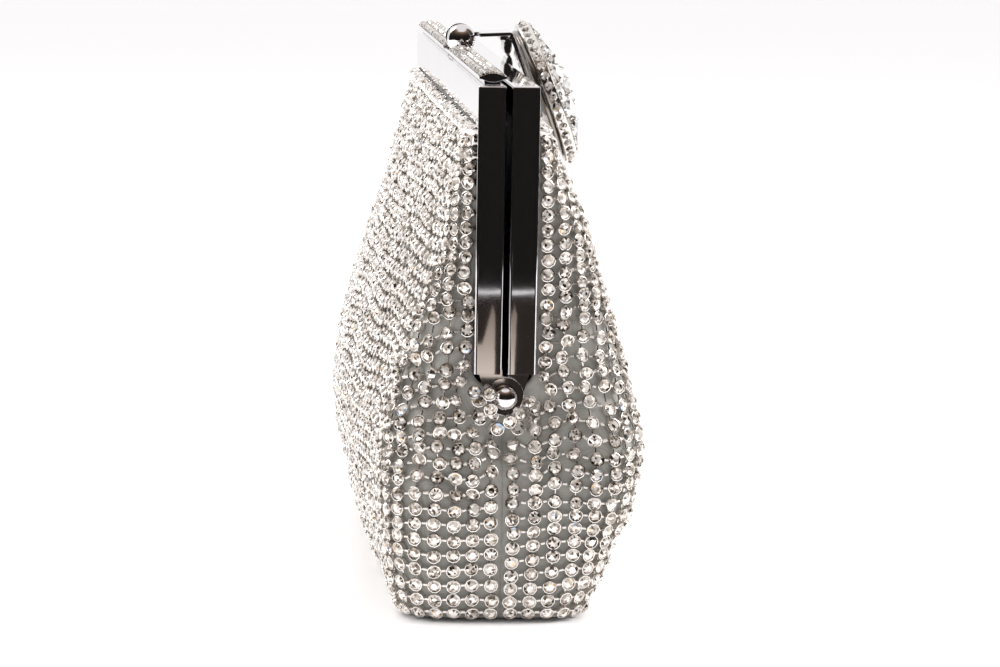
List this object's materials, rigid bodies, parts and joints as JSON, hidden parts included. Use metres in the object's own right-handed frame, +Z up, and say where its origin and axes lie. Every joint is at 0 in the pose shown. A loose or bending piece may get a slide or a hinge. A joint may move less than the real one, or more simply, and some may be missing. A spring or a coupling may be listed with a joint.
{
  "type": "evening bag",
  "caption": "Hard-frame evening bag: soft crystal-mesh pouch on two polished half frames that open like a book, with a flap clasp carrying a flower brooch.",
  "frame": {"origin": "middle of the flat base, where the bag stands", "axes": "+X along the bag, +Y towards its back, +Z up; the brooch is on the -Y side"},
  "size_m": [0.1984, 0.0618, 0.1172],
  "materials": {
    "crystal_mesh": "clear stones in bright silver cups, linked in rows over a pale grey cloth",
    "satin_lining": "silver-grey satin",
    "base_board": "stiff pressed board",
    "packing_cord": "twisted paper cord",
    "polished_nickel": "mirror-polished nickel plate",
    "pave": "small clear stones set close together in bright metal",
    "crystal": "clear faceted stones with foil backs"
  },
  "bodies": {
    "bag_body": {"lower_pouch": "crystal_mesh", "lower_lining": "satin_lining", "base_board": "base_board", "left_hinge_rivet": "polished_nickel", "right_hinge_rivet": "polished_nickel", "left_hinge_backing_plate": "polished_nickel", "right_hinge_backing_plate": "polished_nickel", "back_flex_band": "crystal_mesh", "front_flex_band": "crystal_mesh"},
    "back_half": {"back_frame": "polished_nickel", "back_packing_cord": "packing_cord", "back_panel": "crystal_mesh", "back_lining": "satin_lining", "left_trim_bar": "pave", "right_trim_bar": "pave", "clasp_bracket": "polished_nickel", "clasp_hinge_pin": "polished_nickel", "left_ball_finial": "polished_nickel", "right_ball_finial": "polished_nickel"},
    "front_half": {"front_frame": "polished_nickel", "front_packing_cord": "packing_cord", "front_panel": "crystal_mesh", "front_lining": "satin_lining"},
    "clasp": {"clasp_plate": "polished_nickel", "spring_catch": "polished_nickel", "brooch_back_plate": "polished_nickel", "brooch_rim": "pave", "brooch_petal_1": "crystal", "brooch_petal_2": "crystal", "brooch_petal_3": "crystal", "brooch_petal_4": "crystal", "brooch_petal_5": "crystal", "brooch_petal_6": "crystal", "brooch_petal_7": "crystal", "brooch_petal_8": "crystal", "brooch_centre_cup": "polished_nickel", "brooch_centre_stone": "crystal", "brooch_rivet_left": "polished_nickel", "brooch_rivet_right": "polished_nickel"}
  },
  "joints": [
    {"name": "front_open", "type": "hinge", "parent": "bag_body", "child": "front_half", "pos_m": [0, 0, 0.0465], "axis": [1, 0, 0], "range_deg": [0, 26], "deforming": ["front_flex_band"]},
    {"name": "back_open", "type": "hinge", "parent": "bag_body", "child": "back_half", "pos_m": [0, 0, 0.0465], "axis": [-1, 0, 0], "range_deg": [0, 26], "deforming": ["back_flex_band"]},
    {"name": "clasp_lift", "type": "hinge", "parent": "back_half", "child": "clasp", "pos_m": [0, 0.0029, 0.1136], "axis": [-1, 0, 0], "range_deg": [0, 156]}
  ],
  "couplings": [
    {"joint": "back_open", "follows": "front_open", "ratio": 1},
    {"joint": "clasp_lift", "follows": "front_open", "ratio": 6}
  ]
}
